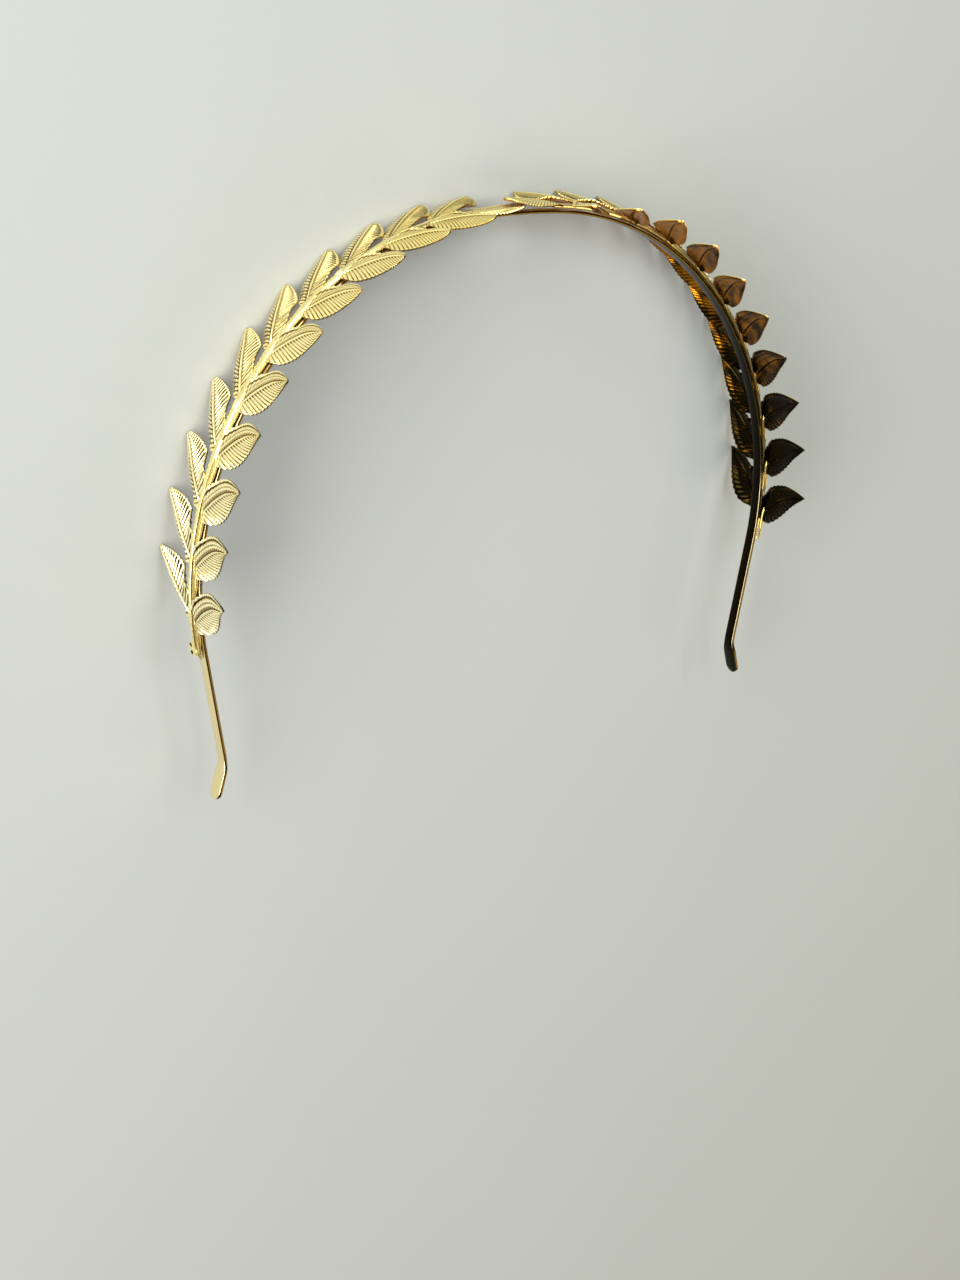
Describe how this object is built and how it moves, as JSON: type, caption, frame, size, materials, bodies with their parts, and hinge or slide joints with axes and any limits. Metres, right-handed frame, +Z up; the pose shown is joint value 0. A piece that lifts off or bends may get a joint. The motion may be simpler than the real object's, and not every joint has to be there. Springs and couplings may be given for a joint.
{
  "type": "leaf headband",
  "caption": "Arched metal headband strip with flat paddle ends and a spray of cupped laurel leaves along each side, meeting at the crown.",
  "frame": {"origin": "on the surface that the headband lies on, under the middle of its box", "axes": "+X to the wearer's left, +Y towards the crown, +Z up from the surface, towards the wearer's front"},
  "size_m": [0.1674, 0.1262, 0.0268],
  "materials": {
    "strip_metal": "polished",
    "leaf_metal": "satin"
  },
  "bodies": {
    "root": {"band": "strip_metal", "spray_right": "leaf_metal", "spray_left": "leaf_metal"}
  },
  "joints": []
}
